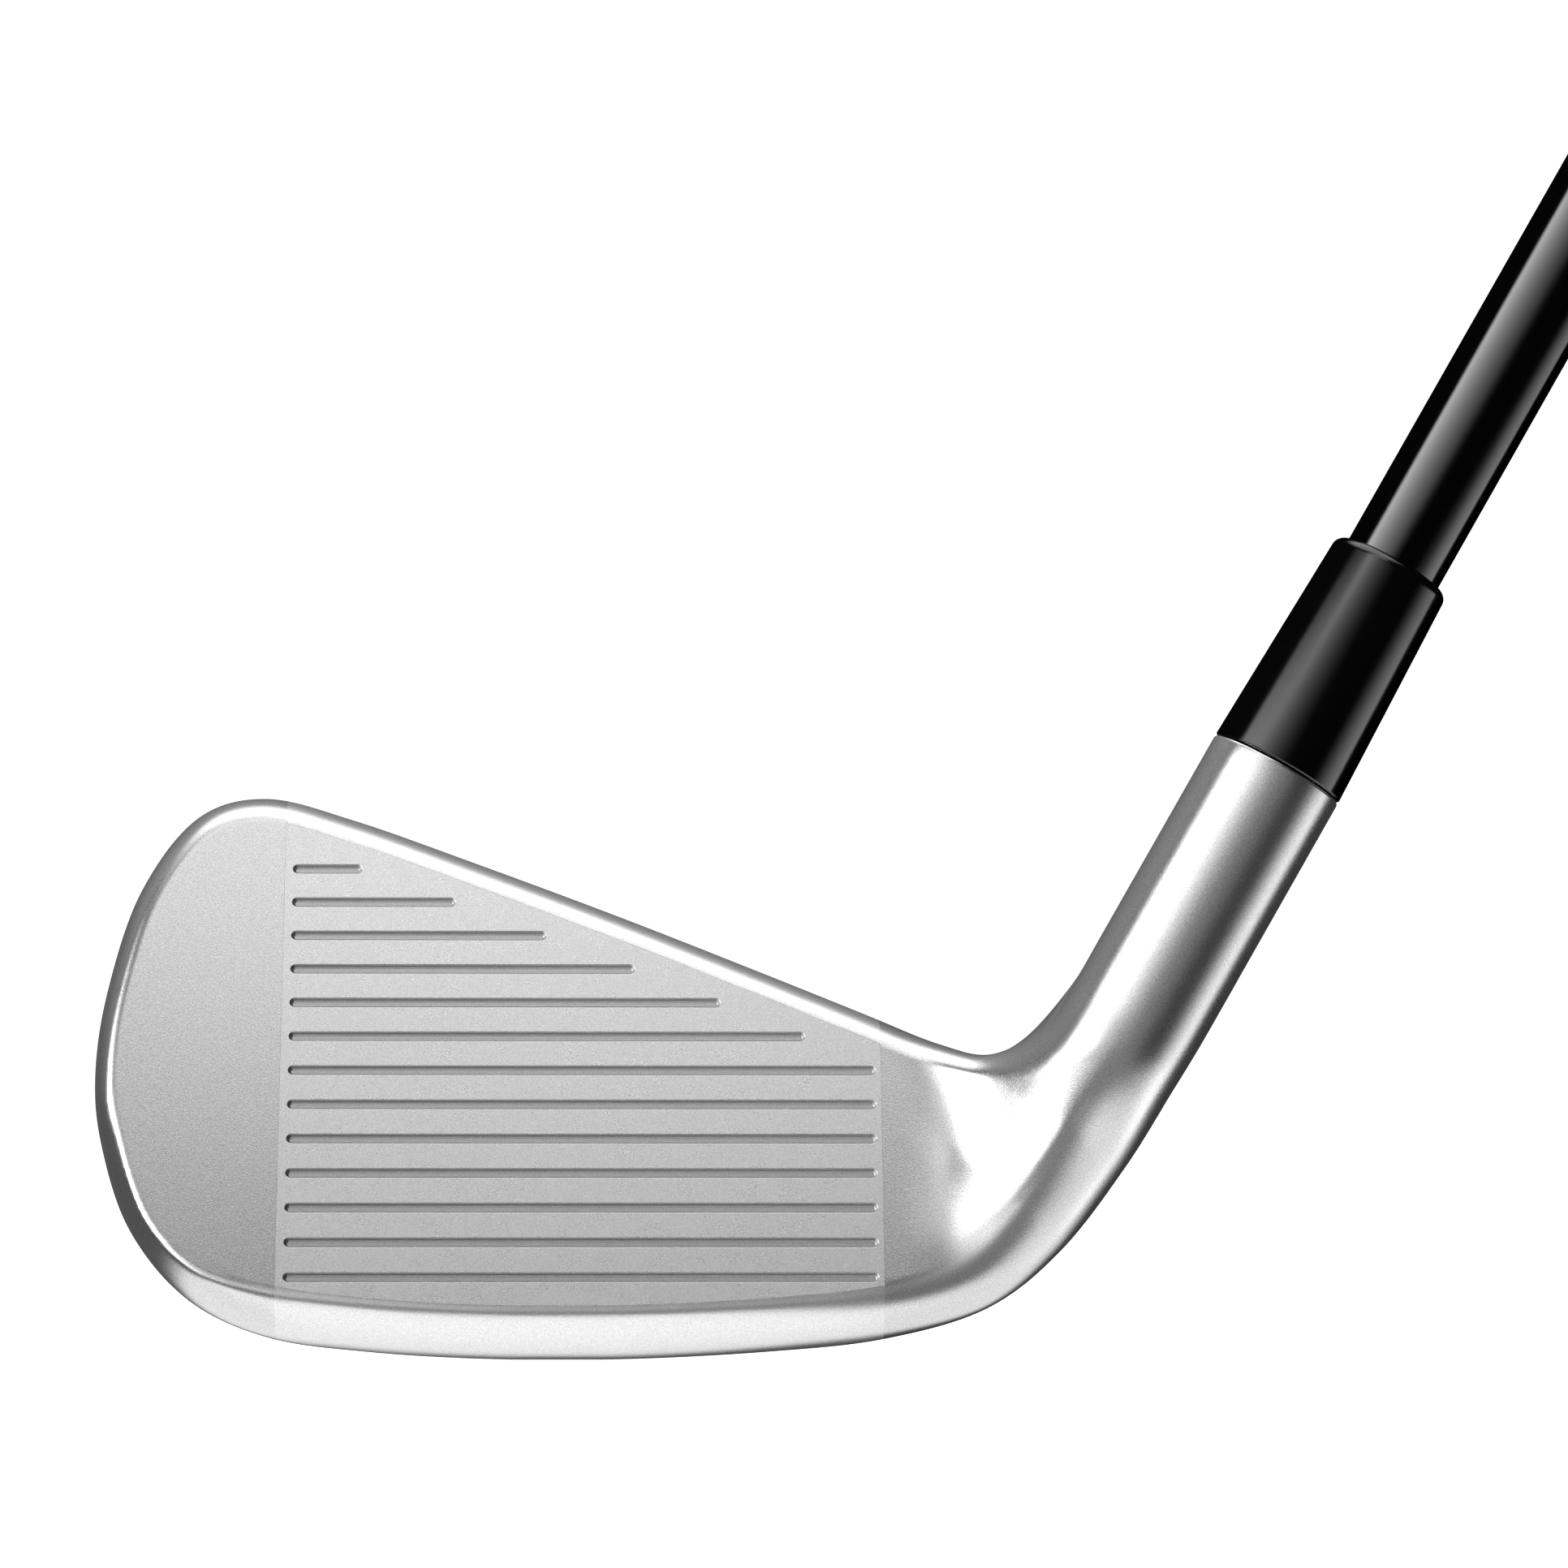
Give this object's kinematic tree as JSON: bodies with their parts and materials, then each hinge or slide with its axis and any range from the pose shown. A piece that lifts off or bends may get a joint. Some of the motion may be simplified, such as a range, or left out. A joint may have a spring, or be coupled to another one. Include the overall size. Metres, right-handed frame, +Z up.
{
  "type": "iron golf club",
  "caption": "Right-handed long iron with a hollow forged head, grooved lofted face, bored hosel, ferrule, tapered shaft and rubber grip.",
  "frame": {"origin": "the point where the sole touches the ground below the middle of the face", "axes": "+Z up with the club at address, +X from toe to heel, +Y from the striking face to the back"},
  "size_m": [0.586, 0.0374, 0.8657],
  "materials": {
    "satin_chrome": "satin, sandblasted grain",
    "blasted_face": "finely blasted",
    "screw_steel": "dark satin",
    "tungsten": "as sintered",
    "filler_foam": "matte cellular",
    "gloss_black_graphite": "gloss lacquer",
    "epoxy": "cured resin",
    "plug_brass": "turned",
    "gloss_black_plastic": "polished",
    "tape_paper": "matte",
    "grip_rubber": "matte, patterned",
    "cap_rubber": "satin"
  },
  "bodies": {
    "root": {"head_body": "satin_chrome", "face_plate": "blasted_face", "port_screw": "screw_steel", "toe_weight": "tungsten", "foam_core": "filler_foam", "shaft": "gloss_black_graphite", "hosel_epoxy": "epoxy", "tip_plug": "plug_brass", "ferrule": "gloss_black_plastic", "grip_tape": "tape_paper", "grip_sleeve": "grip_rubber", "grip_cap": "cap_rubber"}
  },
  "joints": []
}
